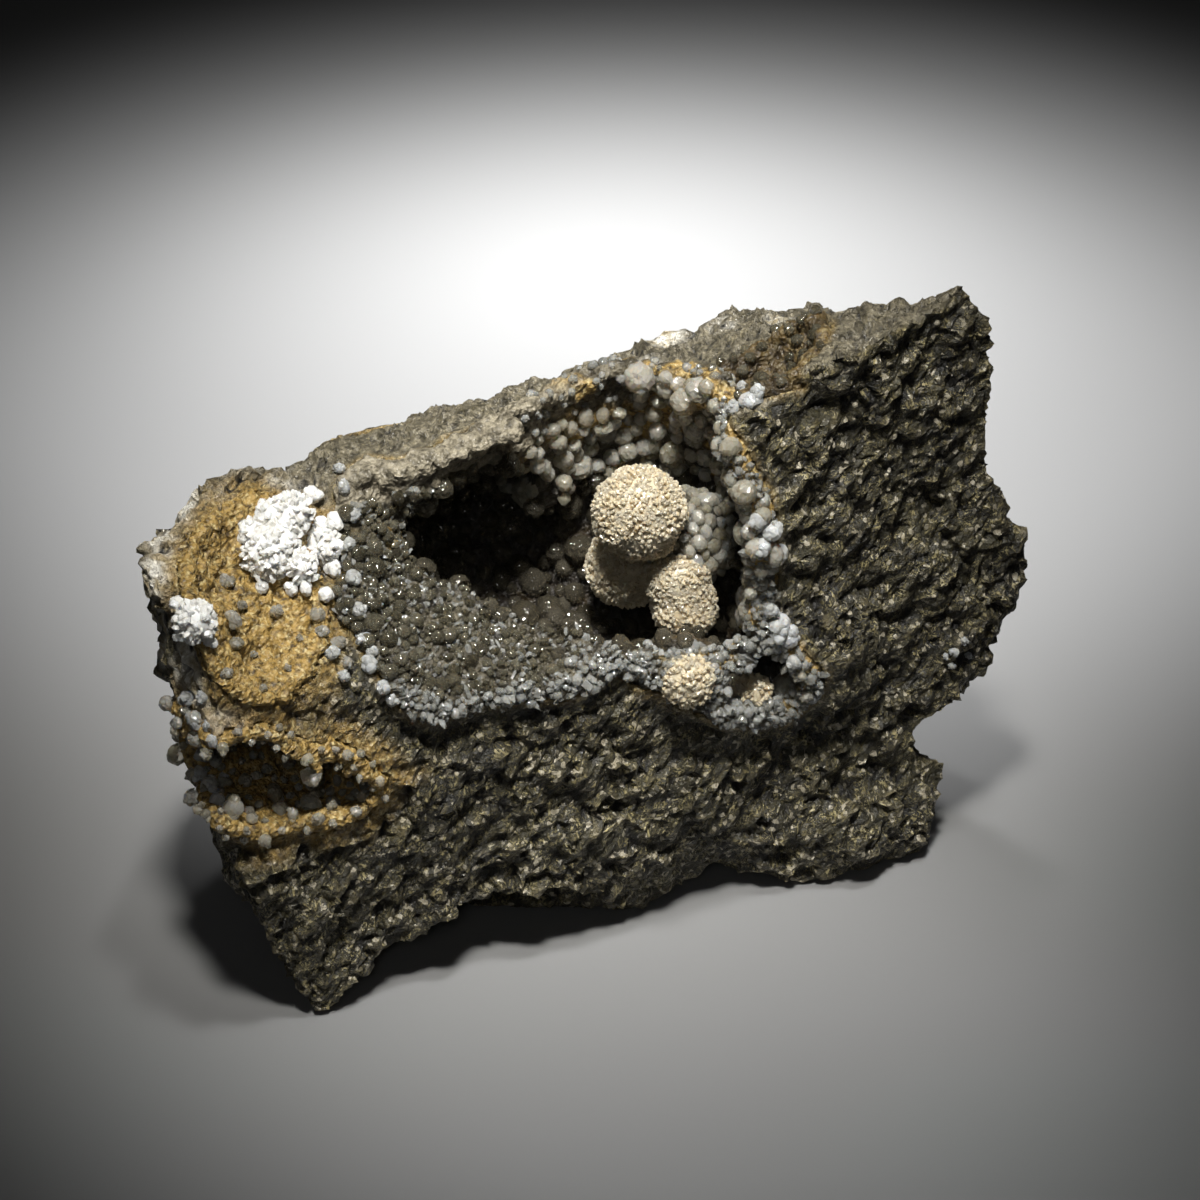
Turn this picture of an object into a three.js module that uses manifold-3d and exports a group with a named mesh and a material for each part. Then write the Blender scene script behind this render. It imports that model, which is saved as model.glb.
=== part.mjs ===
// A phillipsite specimen: a broken block of dark basalt with four gas bubbles (vugs) open to its front, left
// and top. The bubbles are lined with crusts of small translucent crystal balls, and a group of larger cream
// balls hangs from the right wall of the main one.
// Millimetres, +Z up. The block stands on its broken underside. -Y is the front, the face with the vugs.
import * as THREE from "three";
import { ConvexHull } from "three/addons/math/ConvexHull.js";
import { ImprovedNoise } from "three/addons/math/ImprovedNoise.js";
import { mergeVertices } from "three/addons/utils/BufferGeometryUtils.js";
import Module from "manifold-3d";

const wasm = await Module();
wasm.setup();

// Heights and depths that several pieces of the block share.
const ROOF = 46.6; // the flat top behind the main vug
const SILL = 30.4; // where the main vug breaks through the front face
const PEAK = 60.2; // the sharp top right corner
const FRONT = 0; // the broken front face
const BASE = -0.7; // the lumps reach a little below the flat they are cut off at, which is at zero

// The crust.
const FIT_GAP = 0.35; // left between the crust and the rock behind it
const PROUD = 0.5; // how far the crust stands out of the broken rim

// The broken surface: two sizes of relief. CELL is how coarse its facets are.
const BROAD = { wavelength: 11, height: 1.3 };
const FINE = { wavelength: 4.6, height: 0.9 };
const CELL = 3.7;
const CORNER_LOW = new THREE.Vector3(-50, -18.9, -5.4);
const CORNER_HIGH = new THREE.Vector3(52, 48, 66);

// The block, as convex lumps that are joined. Each lump is the hull of its corners.
const LEFT_BLOCK = [
  [-28.7, -0.6, BASE], [-24, -0.6, BASE], [-14, 33, BASE], [-24, 25, BASE],
  [-33.8, FRONT, 11.4], [-35.6, FRONT, 16.7], [-36.8, FRONT, 25.1], [-37.2, FRONT, 31.6], [-37, FRONT, 37.3],
  [-20, FRONT, 0.5], [-20, FRONT, SILL],
  [-37.6, 2.6, 41], [-37.6, 7, 43.6], [-40.4, 11.4, 45.4], [-34.5, 13.6, 47], [-29.8, 17.6, 48],
  [-25.6, 19.2, 48.4], [-19, 19.2, ROOF], [-19, 16, 45],
  [-32.4, 23, 40], [-31, 27, 27], [-29, 25, 8], [-18, 36, 24],
];
const MIDDLE_BLOCK = [
  [-27, -0.4, 6], [-22, FRONT, SILL], [0, FRONT, SILL], [22, FRONT, SILL],
  [24, -0.2, 7], [24, 5, BASE], [0, 8, BASE],
  [-20, 16, ROOF], [-14.5, 10.6, ROOF], [11, 21, ROOF], [14, 4, 48.5], [16, 8, 52],
  [-20, 19.6, ROOF], [0, 21.2, ROOF], [11, 23.4, ROOF],
  [23, 27, 47.4], [28.5, 27.6, 47.6], [33.2, 25.2, 47.6],
  [34, 16, 49], [36, 30, 30], [25, 40, 24], [0, 41, 26], [-18, 34, 30],
  [-18, 33, BASE], [4, 41, BASE], [28, 37, BASE], [-22, 16, BASE],
  [-19, 29, 39.6], [-11, 31, 40], [-3, 32, 39.8], [-15.5, 24.8, 43.7], [-7, 25.6, 43.7],
];
const RIGHT_BLOCK = [
  [12.8, FRONT, 52.4], [22.8, -0.3, 56.9], [31, 0.8, 58.3], [38.9, 1.9, PEAK - 0.3],
  [27.6, 6.4, 56.4], [34, 4.6, 58],
  [41.6, 2.6, 43.6], [43, 2.4, 31], [21, FRONT, 17], [34, 2.2, 12], [37.8, 3, 16.4], [24, FRONT, 6],
  [14, 6, 48], [22, 12, 53], [33, 20, 46.5], [41, 16, 38], [40, 20, 22], [34, 24, 12],
];
const RIGHT_SPUR = [
  [40, 2.6, 37], [42.6, 2.2, 33.4], [45.2, 3, 26.6], [44.8, 3.4, 24.4], [42.2, 2.2, 19.4], [38.8, 2.4, 17],
  [34, 1, 19], [34, 0.6, 34], [40, 17, 34], [41, 15, 20],
];
const FOOT_RIGHT = [
  [19.5, 1.8, BASE], [25.5, 1.2, BASE], [30.5, 1.8, BASE], [33.6, 4, BASE],
  [35.4, 1.8, 3.6], [36.4, 2.4, 6.4], [36, 2.6, 9],
  [27, -1.4, 4], [27, -1.4, 9], [20, -0.8, 7], [36, 13, 3],
  [34, 15, BASE], [22, 16, BASE], [34, 14, 12], [22, 14, 12],
];
const FOOT_MIDDLE = [
  [1, 3.6, BASE], [10, 3.4, BASE], [-1.4, 4, 4.4], [-3, 0.8, 8.6], [12, 1, 4.4], [14, -0.2, 8],
  [1, 15, BASE], [11, 15, BASE], [4, 14, 8],
];
const LUMPS = [LEFT_BLOCK, MIDDLE_BLOCK, RIGHT_BLOCK, RIGHT_SPUR, FOOT_RIGHT, FOOT_MIDDLE];

// Hollows broken out of the outside: the arch under the front, the small one beside the right foot,
// and the notch in the right edge.
const ARCHES = [
  { centre: [-14, -1.4, 0.8], radii: [14.6, 12.6, 5.6], tilt: [0, -15, 0] },
  { centre: [14.4, -2, -0.4], radii: [4.4, 8.6, 3.9], tilt: [0, 0, 0] },
];
const NOTCH = { centre: [39.4, -1, 12.6], radii: [6.4, 9, 2.6], tilt: [0, 10, 0] };

// Relief on the front face: each raises (or sinks) the surface around one place, in x and z.
const FRONT_RELIEF = [
  { from: [22.5, 18], to: [10, 3], height: -1.7, width: 2.6 }, // the valley below the vug's corner
  { from: [22.5, 26], to: [23.5, 21], height: 1.7, width: 2.3 }, // the flake beside that corner
  { from: [31, 6], to: [33, 4], height: 1.2, width: 4 }, // the round lump of the right foot
  { from: [27, 48], to: [21, 52], height: -1.3, width: 2.4 }, // the pit under the top edge
  { from: [40, 30], to: [38, 20], height: 1.1, width: 4 },
  { from: [0, 22], to: [4, 14], height: 0.9, width: 4 },
  { from: [-14, 14], to: [-22, 10], height: -0.9, width: 4 },
];

// The bubbles, as overlapping ellipsoids. The tilt turns each about X, then Y, then Z, in degrees.
const MAIN_VUG = [
  { centre: [9.3, 9.4, 38], radii: [12, 13.8, 20], tilt: [0, -8, 0] },
  { centre: [-0.8, 16.2, 31.8], radii: [13.5, 11.6, 9.4], tilt: [0, 35, -30] },
  { centre: [-4.9, 15.7, 37.8], radii: [15.6, 10.4, 8.4], tilt: [26, 34, -36] },
  { centre: [1.2, 9.6, 31.6], radii: [9.4, 7.6, 7], tilt: [26, 34, -36] },
  { centre: [15, 5, 25.4], radii: [9.6, 9.8, 6.2], tilt: [0, 32, 0] },
  { centre: [-3, -2, 37.5], radii: [10, 8.5, 9.8], tilt: [0, 0, 0] },
  { centre: [-0.5, 8, 44], radii: [13, 9.6, 10], tilt: [0, 0, 25] },
];
const RAMP = { centre: [-12.5, 2.4, 39.8], radii: [13, 17.6, 8.4], tilt: [43, -4, 19] };
const ALCOVE = [
  { centre: [-34.4, 3.2, 26.7], radii: [8.2, 9, 6], tilt: [0, 30, 0] },
  { centre: [-27, 3.8, 24.3], radii: [7, 8, 5.2], tilt: [0, 26, 0] },
];
// What is left of the roof over the back of the main vug.
const ROOF_SLAB = [
  [-18.5, 19, 45], [-13.6, 14.2, 45], [-9.9, 14, 45], [1, 20, 45], [10.8, 23.6, 44.8],
  [-18.5, 19, 52], [-13.6, 14.2, 52], [-9.9, 14, 52], [1, 20, 52], [10.8, 23.6, 52],
  [-18, 34, 43.2], [12, 34, 43], [-18, 34, 52], [12, 34, 52],
];
const LEFT_SCOOP = { centre: [-29.6, 5, 44.5], radii: [9, 13.8, 7], tilt: [44, 30, 0] };
const TOP_HOLE = { centre: [19.4, 7, 53.6], radii: [7.4, 5.2, 4.8], tilt: [0, -14, 12] };

function hullOf(corners) {
  return new ConvexHull().setFromPoints(corners.map((corner) => new THREE.Vector3(...corner)));
}

const lumpHulls = LUMPS.map(hullOf);
const slabHull = hullOf(ROOF_SLAB);

// Each vug: its bubbles, the size of its facets, the thickness of its lining, and the crystal balls on
// that lining, with how far apart they sit and their radius.
const MAIN_VUG_CRUST = {
  bubbles: [...MAIN_VUG, RAMP],
  roof: slabHull,
  cell: 3.2,
  thickness: 1.3,
  spacing: 4.8,
  radius: 1.7,
};
const SCOOP_CRUST = { bubbles: [LEFT_SCOOP], cell: 3, thickness: 0.8, spacing: 5, radius: 1.1 };
const ALCOVE_CRUST = { bubbles: ALCOVE, cell: 3.1, thickness: 0.8, spacing: 4.6, radius: 1.2 };
const TOP_VUG_CRUST = { bubbles: [TOP_HOLE], cell: 2.4, thickness: 0.8, spacing: 5, radius: 1.2 };
const BUBBLE_RELIEF = { wavelength: 7, height: 0.9 };

// The larger balls, each with its centre and radius.
const CREAM_SPHERES = [
  { centre: [8.4, 9.6, 39.2], radius: 4.35, detail: 2 },
  { centre: [9, 13.4, 31.4], radius: 3.9, detail: 1 },
  { centre: [11.6, 7.6, 32], radius: 3, detail: 1 },
  { centre: [11.9, 7, 29.8], radius: 3.1, detail: 2 },
  { centre: [14.2, 11, 34.6], radius: 4.6, detail: 1 },
];
const RIM_SPHERES = [
  { centre: [9.3, 1.6, 26.4], radius: 2.9 },
  { centre: [16.8, 3.4, 21.6], radius: 1.8 },
];
const SHOULDER_SPHERES = [
  { centre: [-25.2, 12.4, 42], radius: 2.7 },
  { centre: [-27.4, 10.4, 39.8], radius: 2.1 },
  { centre: [-22.6, 10.6, 39.4], radius: 2.2 },
  { centre: [-35.4, 6.6, 39.6], radius: 2.3 },
];
const TOP_SPHERES = [
  { centre: [16.6, 3.6, 52.2], radius: 2.2 },
  { centre: [14.8, 4.6, 51.4], radius: 1.8 },
];

const noise = new ImprovedNoise();
const GOLDEN_ANGLE = Math.PI * (3 - Math.sqrt(5));
const CREAM_SEED = 5;
const CREAM_CLEARANCE = 0.5; // crust left behind the pocket of the cream balls

// Repeatable random numbers from 0 to 1.
function randomFrom(seed) {
  let state = seed;
  return () => {
    state = (Math.imul(state, 1664525) + 1013904223) >>> 0;
    return state / 2 ** 32;
  };
}

function solidOf(geometry) {
  const bare = new THREE.BufferGeometry().setAttribute("position", geometry.getAttribute("position"));
  if (geometry.index) bare.setIndex(geometry.index);
  const merged = mergeVertices(bare, 1e-4);
  return new wasm.Manifold(new wasm.Mesh({
    numProp: 3,
    vertProperties: merged.getAttribute("position").array,
    triVerts: new Uint32Array(merged.index.array),
  }));
}

function geometryOf(solid) {
  const mesh = solid.getMesh();
  const geometry = new THREE.BufferGeometry();
  geometry.setAttribute("position", new THREE.BufferAttribute(mesh.vertProperties, 3));
  geometry.setIndex(new THREE.BufferAttribute(mesh.triVerts, 1));
  return geometry;
}

function joined(solids) {
  return solids.reduce((whole, next) => whole.add(next));
}

function largestPiece(solid) {
  return solid.decompose().reduce((best, next) => (next.volume() > best.volume() ? next : best));
}

function turnOf(tilt) {
  return new THREE.Euler(...tilt.map(THREE.MathUtils.degToRad), "ZYX");
}

function hullField(point, hull) {
  return Math.max(...hull.faces.map((face) => face.distanceToPoint(point)));
}

// Below zero inside an ellipsoid, above it outside, in about millimetres.
function ellipsoidField(point, { centre, radii, tilt }) {
  const inverse = new THREE.Quaternion().setFromEuler(turnOf(tilt)).invert();
  const local = point.clone().sub(new THREE.Vector3(...centre)).applyQuaternion(inverse);
  const scaled = local.clone().divide(new THREE.Vector3(...radii));
  const steepness = scaled.clone().divide(new THREE.Vector3(...radii)).length();
  return steepness > 0 ? (scaled.length() * (scaled.length() - 1)) / steepness : -Math.min(...radii);
}

// How far the front face stands out at a place, from the list of its valleys, flakes and lumps.
function frontRelief(point) {
  let height = 0;
  const flat = new THREE.Vector3(point.x, 0, point.z);
  for (const { from, to, height: most, width } of FRONT_RELIEF) {
    const line = new THREE.Line3(new THREE.Vector3(from[0], 0, from[1]), new THREE.Vector3(to[0], 0, to[1]));
    const nearest = line.closestPointToPoint(flat, true, new THREE.Vector3());
    height += most * Math.exp(-(nearest.distanceToSquared(flat) / (2 * width ** 2)));
  }
  return height;
}

function reliefAt(point, { wavelength, height }) {
  return height * noise.noise(point.x / wavelength, point.y / wavelength, point.z / wavelength);
}

// Below zero inside the block, above it outside: its lumps, with a broken surface, less the arches and the
// notch.
function blockField(point) {
  const lumps = lumpHulls.map((lump) => hullField(point, lump));
  const facing = Math.exp(-((Math.max(0, point.y - 2) / 4) ** 2));
  const relief = reliefAt(point, BROAD) + reliefAt(point, FINE) + facing * frontRelief(point);
  const outside = Math.min(...lumps) - relief;
  return Math.max(outside, ...[...ARCHES, NOTCH].map((hollow) => -ellipsoidField(point, hollow)));
}

// Below zero inside a vug, above it in the rock: its bubbles, run into one another, less what is left of a
// roof.
function vugField(point, { bubbles, roof }) {
  const blend = 1.6;
  const hollow = bubbles.map((bubble) => ellipsoidField(point, bubble)).reduce((nearest, next) => {
    const share = Math.max(0, blend - Math.abs(nearest - next)) / blend;
    return Math.min(nearest, next) - (share * share * blend) / 4;
  });
  const open = roof ? Math.max(hollow, -hullField(point, roof)) : hollow;
  return open + reliefAt(point, BUBBLE_RELIEF);
}

function fieldNormal(field, point) {
  const step = 0.05;
  const along = ["x", "y", "z"].map((axis) => {
    const ahead = point.clone();
    const behind = point.clone();
    ahead[axis] += step;
    behind[axis] -= step;
    return field(ahead) - field(behind);
  });
  return new THREE.Vector3(...along).normalize();
}

const CELL_CORNERS = [0, 1, 2, 3, 4, 5, 6, 7].map((n) => [n & 1, (n >> 1) & 1, (n >> 2) & 1]);

// Whether some corners of a cell are all reached from one another along its edges.
function linked(corners) {
  const reached = new Set(corners.slice(0, 1));
  for (const corner of reached) {
    for (const bit of [1, 2, 4]) {
      if (corners.includes(corner ^ bit)) reached.add(corner ^ bit);
    }
  }
  return reached.size === corners.length;
}

// The surface where a field is zero: one point in each grid cell that it crosses, drawn to the sharpest
// corner there, and two triangles for each grid edge that it crosses. A cell that it would cross twice is
// filled in.
function surfaceOf(field, cell, floor = -Infinity, low = CORNER_LOW, high = CORNER_HIGH) {
  const size = high.clone().sub(low).divideScalar(cell).ceil();
  const place = (i, j, k) => new THREE.Vector3(low.x + i * cell, low.y + j * cell, low.z + k * cell);
  const key = (i, j, k) => (i * (size.y + 1) + j) * (size.z + 1) + k;
  const values = new Float64Array((size.x + 1) * (size.y + 1) * (size.z + 1));
  const cells = [];
  for (let i = 0; i <= size.x; i++) {
    for (let j = 0; j <= size.y; j++) {
      for (let k = 0; k <= size.z; k++) {
        values[key(i, j, k)] = field(place(i, j, k));
        if (i < size.x && j < size.y && k < size.z) cells.push([i, j, k]);
      }
    }
  }
  for (let changed = true; changed; ) {
    changed = false;
    for (const [i, j, k] of cells) {
      const keys = CELL_CORNERS.map(([a, b, c]) => key(i + a, j + b, k + c));
      const inside = [0, 1, 2, 3, 4, 5, 6, 7].filter((n) => values[keys[n]] < 0);
      const outside = [0, 1, 2, 3, 4, 5, 6, 7].filter((n) => values[keys[n]] >= 0);
      if (linked(inside) && linked(outside)) continue;
      const nearest = outside.reduce((best, n) => (values[keys[n]] < values[keys[best]] ? n : best));
      values[keys[nearest]] = -0.05 * cell;
      changed = true;
    }
  }
  const crossings = new Map();
  const faces = [];
  const around = (node, axis) => {
    const [u, v] = [(axis + 1) % 3, (axis + 2) % 3];
    return [[0, 0], [1, 0], [1, 1], [0, 1]].map(([du, dv]) => {
      const owner = [...node];
      owner[u] -= du;
      owner[v] -= dv;
      return key(...owner);
    });
  };
  for (let i = 1; i < size.x; i++) {
    for (let j = 1; j < size.y; j++) {
      for (let k = 1; k < size.z; k++) {
        for (let axis = 0; axis < 3; axis++) {
          const node = [i, j, k];
          const next = node.map((n, a) => n + (a === axis ? 1 : 0));
          const [here, there] = [values[key(...node)], values[key(...next)]];
          if (here < 0 === there < 0) continue;
          const point = place(...node).lerp(place(...next), here / (here - there));
          const crossing = { point, normal: fieldNormal(field, point) };
          const owners = around(node, axis);
          for (const owner of owners) crossings.set(owner, [...(crossings.get(owner) ?? []), crossing]);
          faces.push(here < 0 ? owners : owners.reverse());
        }
      }
    }
  }
  const points = [...crossings.values()].map((list) => drawnToCorner(list, cell));
  for (const point of points) point.z = Math.max(point.z, floor);
  const index = new Map([...crossings.keys()].map((owner, n) => [owner, n]));
  const triangles = faces.map((face) => face.map((owner) => index.get(owner))).flatMap(([a, b, c, d]) => {
    const shorter = points[a].distanceTo(points[c]) < points[b].distanceTo(points[d]);
    return shorter ? [a, b, c, a, c, d] : [b, c, d, b, d, a];
  });
  const geometry = new THREE.BufferGeometry().setFromPoints(points);
  geometry.setIndex(triangles);
  return geometry;
}

// The place that lies nearest to all the surfaces that cross a cell.
function drawnToCorner(list, cell) {
  const sum = list.reduce((total, { point }) => total.add(point), new THREE.Vector3());
  const middle = sum.divideScalar(list.length);
  const place = middle.clone();
  for (let step = 0; step < 24; step++) {
    const pull = new THREE.Vector3();
    for (const { point, normal } of list) pull.addScaledVector(normal, normal.dot(point.clone().sub(place)));
    place.addScaledVector(pull, 1.4 / list.length);
  }
  return place.sub(middle).clampLength(0, cell * 0.8).add(middle);
}

// The broken block, grown outwards by grow. Its underside is flat.
function brokenBlock(grow) {
  const field = (point) => Math.max(blockField(point) - grow, -point.z - grow);
  return largestPiece(solidOf(surfaceOf(field, CELL, -grow)));
}

// A surface moved inwards by the same distance everywhere.
function shrunk(geometry, distance) {
  const moved = geometry.clone();
  moved.computeVertexNormals();
  const [position, normal] = [moved.getAttribute("position"), moved.getAttribute("normal")];
  for (let i = 0; i < position.count; i++) {
    const point = new THREE.Vector3().fromBufferAttribute(position, i);
    point.addScaledVector(new THREE.Vector3().fromBufferAttribute(normal, i), -distance);
    position.setXYZ(i, ...point);
  }
  return moved;
}

// A faceted ball, turned at random.
function crystalBall(centre, radius, random, detail) {
  const geometry = new THREE.IcosahedronGeometry(radius, detail);
  const turn = new THREE.Euler(random() * Math.PI, random() * Math.PI, random() * Math.PI);
  geometry.applyMatrix4(new THREE.Matrix4().makeRotationFromEuler(turn).setPosition(...centre));
  return solidOf(geometry);
}

// Balls spread over the walls of a vug, left out where another bubble has opened the wall.
function druse({ bubbles, thickness, spacing, radius }, random) {
  const inset = FIT_GAP + thickness;
  const balls = [];
  for (const bubble of bubbles) {
    const mean = (bubble.radii[0] + bubble.radii[1] + bubble.radii[2]) / 3 - inset;
    const count = Math.round((4 * Math.PI * mean ** 2) / spacing ** 2);
    for (let i = 0; i < count; i++) {
      const up = 1 - (2 * i + 1) / count;
      const round = Math.sqrt(1 - up * up);
      const angle = i * GOLDEN_ANGLE;
      const point = new THREE.Vector3(round * Math.cos(angle), round * Math.sin(angle), up);
      point.multiply(new THREE.Vector3(...bubble.radii.map((r) => r - inset)));
      point.applyEuler(turnOf(bubble.tilt)).add(new THREE.Vector3(...bubble.centre));
      const size = radius * (0.75 + 0.5 * random());
      if (bubbles.some((other) => other !== bubble && ellipsoidField(point, other) < -inset)) continue;
      balls.push({ centre: point, radius: size });
    }
  }
  return balls;
}

// The crystal lining of a vug: a shell with balls on its inside, a fit gap inside the rock.
function crustOf(vug, spheres, envelope, seed) {
  const wall = surfaceOf((point) => vugField(point, vug), vug.cell);
  const balls = [
    ...druse(vug, randomFrom(seed)),
    ...spheres.map(({ centre, radius }) => ({ centre: new THREE.Vector3(...centre), radius })),
  ];
  const hollow = (point) => {
    const bare = vugField(point, vug) + FIT_GAP + vug.thickness;
    return Math.max(bare, ...balls.map(({ centre, radius }) => radius - point.distanceTo(centre)));
  };
  const shell = solidOf(shrunk(wall, FIT_GAP)).subtract(solidOf(surfaceOf(hollow, vug.cell * 0.9)));
  return { wall, vug: solidOf(wall), crust: largestPiece(shell.intersect(envelope)) };
}

// The cream balls in one solid, grown by grow, cut back to inside the space given.
function creamBalls(grow, space) {
  const random = randomFrom(CREAM_SEED);
  const balls = CREAM_SPHERES.map(({ centre, radius, detail }) => {
    return crystalBall(centre, radius + grow, random, detail);
  });
  return largestPiece(joined(balls).intersect(space));
}

function named(name, solid, finish) {
  const geometry = geometryOf(solid).toNonIndexed();
  geometry.computeVertexNormals();
  const material = new THREE.MeshStandardMaterial({ ...finish, metalness: 0, flatShading: true });
  const mesh = new THREE.Mesh(geometry, material);
  mesh.name = name;
  return mesh;
}

// Moves the specimen so that the origin is the middle of its box, on the surface it stands on.
function standOnOrigin(specimen) {
  const box = new THREE.Box3().setFromObject(specimen, true);
  const middle = box.getCenter(new THREE.Vector3());
  specimen.position.set(-middle.x, -middle.y, -box.min.z);
  return specimen;
}

const envelope = brokenBlock(PROUD);
const mainVug = crustOf(MAIN_VUG_CRUST, RIM_SPHERES, envelope, 11);
const scoop = crustOf(SCOOP_CRUST, SHOULDER_SPHERES, envelope, 23);
const alcove = crustOf(ALCOVE_CRUST, [], envelope, 29);
const topVug = crustOf(TOP_VUG_CRUST, TOP_SPHERES, envelope, 31);
const rock = [mainVug, scoop, alcove, topVug].reduce((solid, { vug }) => solid.subtract(vug), brokenBlock(0));

// The crust has a pocket for the cream balls, a fit gap wider all round, that doesn't reach the rock.
const shrunkWall = (distance) => solidOf(shrunk(mainVug.wall, distance));
const mainCrust = mainVug.crust.subtract(creamBalls(FIT_GAP, shrunkWall(FIT_GAP + CREAM_CLEARANCE)));
const creamCluster = creamBalls(0, shrunkWall(FIT_GAP * 2 + CREAM_CLEARANCE));

const specimen = new THREE.Group();
specimen.add(
  named("basalt_matrix", largestPiece(rock), { color: 0x2b2723, roughness: 0.9 }),
  named("main_vug_crust", largestPiece(mainCrust), { color: 0xa9a69e, roughness: 0.25 }),
  named("left_scoop_crust", scoop.crust, { color: 0x8f6a24, roughness: 0.6 }),
  named("left_alcove_crust", alcove.crust, { color: 0x8f6a24, roughness: 0.6 }),
  named("top_vug_crust", topVug.crust.subtract(mainVug.vug), { color: 0x6b5326, roughness: 0.6 }),
  named("cream_sphere_cluster", creamCluster, { color: 0xcfb896, roughness: 0.35 }),
);

export default standOnOrigin(specimen);
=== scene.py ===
"""A phillipsite specimen: a broken block of basalt with druse-lined vugs, on a plain pale floor."""
import math

import bmesh
import bpy
import numpy as np
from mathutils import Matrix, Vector, noise
from mathutils.bvhtree import BVHTree


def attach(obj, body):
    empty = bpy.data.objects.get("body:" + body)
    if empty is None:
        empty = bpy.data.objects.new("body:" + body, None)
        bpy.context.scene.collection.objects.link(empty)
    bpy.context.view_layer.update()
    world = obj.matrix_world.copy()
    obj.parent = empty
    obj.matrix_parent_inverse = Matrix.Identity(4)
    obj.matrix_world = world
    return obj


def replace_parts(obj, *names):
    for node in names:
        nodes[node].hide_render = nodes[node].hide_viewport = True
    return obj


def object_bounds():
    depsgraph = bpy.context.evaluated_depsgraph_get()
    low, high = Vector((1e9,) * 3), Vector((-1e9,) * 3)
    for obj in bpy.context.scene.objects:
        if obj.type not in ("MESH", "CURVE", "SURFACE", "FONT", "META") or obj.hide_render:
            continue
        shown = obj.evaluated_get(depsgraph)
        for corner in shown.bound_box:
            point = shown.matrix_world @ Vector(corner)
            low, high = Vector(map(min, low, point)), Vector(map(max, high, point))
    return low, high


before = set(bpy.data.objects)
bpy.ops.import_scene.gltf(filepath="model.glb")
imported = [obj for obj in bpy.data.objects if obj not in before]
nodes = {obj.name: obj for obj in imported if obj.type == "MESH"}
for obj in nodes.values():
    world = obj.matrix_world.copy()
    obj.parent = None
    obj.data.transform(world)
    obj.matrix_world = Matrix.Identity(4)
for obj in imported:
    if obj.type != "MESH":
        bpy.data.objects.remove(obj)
cad_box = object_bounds()
rng = np.random.default_rng(7)
noise.seed_set(7)

MM = 0.001
# The middle of the front edge of the underside, in the row frame, in mm. Places below are measured from it.
FRONT_FOOT = np.array([-2.81, -19.78, 0.0])

# The camera of the photograph: what it looks at, from where, and half its view's width at one from it.
TARGET = FRONT_FOOT + np.array([0, 0, 37.0])
AZIMUTH, ELEVATION, DISTANCE, HALF_VIEW = math.radians(-25), math.radians(30), 540.0, 0.1
BACK = np.array([math.sin(AZIMUTH) * math.cos(ELEVATION),
                 -math.cos(AZIMUTH) * math.cos(ELEVATION),
                 math.sin(ELEVATION)])
RIGHT = np.array([math.cos(AZIMUTH), math.sin(AZIMUTH), 0.0])
UP = np.cross(BACK, RIGHT)
HALF_PICTURE = 600  # half the width of the picture, in pixels
PIXEL = 0.09  # how wide a pixel of the picture is on the specimen, in mm


# Mesh helpers

def points_of(mesh):
    """The vertices of a mesh, in mm."""
    co = np.empty(len(mesh.vertices) * 3)
    mesh.vertices.foreach_get("co", co)
    return co.reshape(-1, 3) / MM


def normals_of(mesh):
    flat = np.empty(len(mesh.vertices) * 3)
    mesh.vertex_normals.foreach_get("vector", flat)
    return flat.reshape(-1, 3)


def set_points(mesh, co):
    mesh.vertices.foreach_set("co", (co * MM).ravel())
    mesh.update()


def remeshed(node, name, voxel, smoothing):
    """A fine even copy of a CAD node, its facets softened. voxel is in mm."""
    piece = bpy.data.objects.new(name, nodes[node].data.copy())
    bpy.context.scene.collection.objects.link(piece)
    remesh = piece.modifiers.new("remesh", "REMESH")
    remesh.mode = "VOXEL"
    remesh.voxel_size = voxel * MM
    smooth = piece.modifiers.new("smooth", "SMOOTH")
    smooth.factor = 0.5
    smooth.iterations = smoothing
    graph = bpy.context.evaluated_depsgraph_get()
    fine = bpy.data.meshes.new_from_object(piece.evaluated_get(graph))
    piece.modifiers.clear()
    piece.data = fine
    fine.name = name
    fine.materials.clear()
    fine.polygons.foreach_set("use_smooth", [False] * len(fine.polygons))
    return piece


def tree_of(*meshes):
    """For finding places on some meshes, in mm."""
    co, faces, count = [], [], 0
    for mesh in meshes:
        co += [Vector(p) for p in points_of(mesh)]
        faces += [[v + count for v in p.vertices] for p in mesh.polygons]
        count = len(co)
    return BVHTree.FromPolygons(co, faces)


def distances(tree, co):
    return np.array([tree.find_nearest(Vector(p))[3] for p in co])


def wobble(co, size, seed=0.0):
    """Smooth noise from about -1 to 1 at each place, with features of about size mm."""
    return np.array([noise.noise(Vector(p) / size + Vector((seed, 0, 0))) for p in co])


def paint(mesh, name, values):
    """Keeps one number from 0 to 1 per vertex, for the material."""
    layer = mesh.attributes.new(name, "FLOAT", "POINT")
    layer.data.foreach_set("value", np.clip(values, 0, 1).astype(np.float32))


def smoothstep(low, high, value):
    t = np.clip((value - low) / (high - low), 0, 1)
    return t * t * (3 - 2 * t)


def as_piece(piece):
    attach(piece, "root")
    return piece


def mesh_piece(name, co, faces, material):
    mesh = bpy.data.meshes.new(name)
    mesh.from_pydata((co * MM).tolist(), [], faces.tolist())
    mesh.materials.append(material)
    piece = bpy.data.objects.new(name, mesh)
    bpy.context.scene.collection.objects.link(piece)
    return as_piece(piece)


# Materials

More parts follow.
